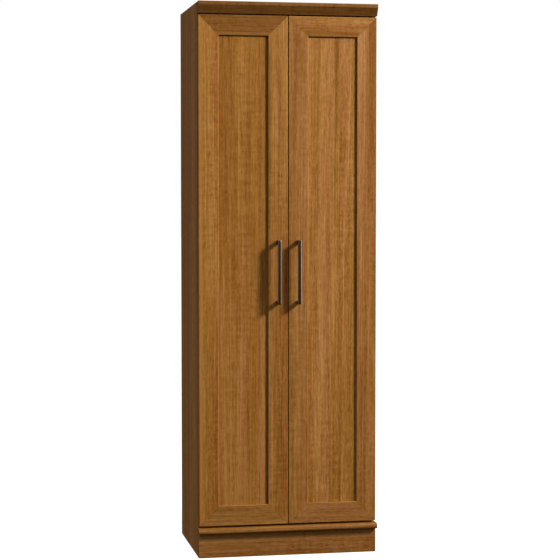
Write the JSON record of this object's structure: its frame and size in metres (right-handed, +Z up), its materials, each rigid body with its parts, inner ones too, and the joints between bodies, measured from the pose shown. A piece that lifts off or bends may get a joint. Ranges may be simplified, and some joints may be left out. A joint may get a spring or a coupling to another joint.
{
  "type": "storage cabinet",
  "caption": "Tall free-standing wooden storage cabinet with hinged frame-and-panel doors on concealed hinges, inner shelves, bar handles, a coved crown and a plinth.",
  "frame": {"origin": "on the floor, in the middle of the whole object's footprint with its handles", "axes": "+Z up, -Y the way the doors face, +X from the left side to the right side as seen from the front"},
  "size_m": [0.596, 0.463, 1.808],
  "materials": {
    "side_wood": "satin wood, grain upright, in shade on its left face",
    "inner_wood": "satin wood, grain across",
    "door_wood": "satin wood, grain along each member, upright on the panels",
    "trim_wood": "satin wood, grain across",
    "back_board": "thin hardboard, matt",
    "block_wood": "bare softwood",
    "handle_metal": "dark bronze, satin",
    "hinge_steel": "nickel plated, satin",
    "screw_steel": "zinc plated",
    "cam_zinc": "cast zinc, dull",
    "pin_plastic": "brown moulded",
    "bumper_plastic": "clear soft pad"
  },
  "bodies": {
    "carcass": {"left_side_panel": "side_wood", "right_side_panel": "side_wood", "top_panel": "inner_wood", "bottom_panel": "inner_wood", "fixed_shelf": "inner_wood", "adjustable_shelf_1": "inner_wood", "adjustable_shelf_2": "inner_wood", "adjustable_shelf_3": "inner_wood", "adjustable_shelf_4": "inner_wood", "shelf_pins": "pin_plastic", "back_panel": "back_board", "back_nails": "screw_steel", "front_top_rail": "inner_wood", "crown_moulding": "trim_wood", "crown_screws": "screw_steel", "base_moulding": "trim_wood", "kick_plate": "trim_wood", "plinth_blocks": "block_wood", "plinth_screws": "screw_steel", "cam_locks": "cam_zinc", "cam_bolts": "screw_steel", "dowels": "block_wood", "hinge_arms": "hinge_steel", "hinge_arm_pins": "hinge_steel", "hinge_arm_screws": "screw_steel", "hinge_plates": "hinge_steel", "hinge_plate_screws": "screw_steel"},
    "left_link": {"left_hinge_links": "hinge_steel"},
    "left_door": {"left_door_hinge_stile": "door_wood", "left_door_handle_stile": "door_wood", "left_door_top_rail": "door_wood", "left_door_bottom_rail": "door_wood", "left_door_panel": "door_wood", "left_door_handle": "handle_metal", "left_door_handle_screws": "screw_steel", "left_door_bumpers": "bumper_plastic", "left_hinge_cups": "hinge_steel", "left_hinge_cup_screws": "screw_steel", "left_hinge_cup_pins": "hinge_steel"},
    "right_link": {"right_hinge_links": "hinge_steel"},
    "right_door": {"right_door_hinge_stile": "door_wood", "right_door_handle_stile": "door_wood", "right_door_top_rail": "door_wood", "right_door_bottom_rail": "door_wood", "right_door_panel": "door_wood", "right_door_handle": "handle_metal", "right_door_handle_screws": "screw_steel", "right_door_bumpers": "bumper_plastic", "right_hinge_cups": "hinge_steel", "right_hinge_cup_screws": "screw_steel", "right_hinge_cup_pins": "hinge_steel"}
  },
  "joints": [
    {"name": "left_link_turn", "type": "hinge", "parent": "carcass", "child": "left_link", "pos_m": [-0.2651, -0.1865, 0.9355], "axis": [0, 0, 1], "range_deg": [0, 62]},
    {"name": "left_door_swing", "type": "hinge", "parent": "left_link", "child": "left_door", "pos_m": [-0.2816, -0.181, 0.9355], "axis": [0, 0, -1], "range_deg": [0, 162]},
    {"name": "right_link_turn", "type": "hinge", "parent": "carcass", "child": "right_link", "pos_m": [0.2651, -0.1865, 0.9355], "axis": [0, 0, -1], "range_deg": [0, 62]},
    {"name": "right_door_swing", "type": "hinge", "parent": "right_link", "child": "right_door", "pos_m": [0.2816, -0.181, 0.9355], "axis": [0, 0, 1], "range_deg": [0, 162]}
  ],
  "couplings": [
    {"joint": "left_link_turn", "follows": "left_door_swing", "ratio": 0.38272},
    {"joint": "right_link_turn", "follows": "right_door_swing", "ratio": 0.38272}
  ]
}
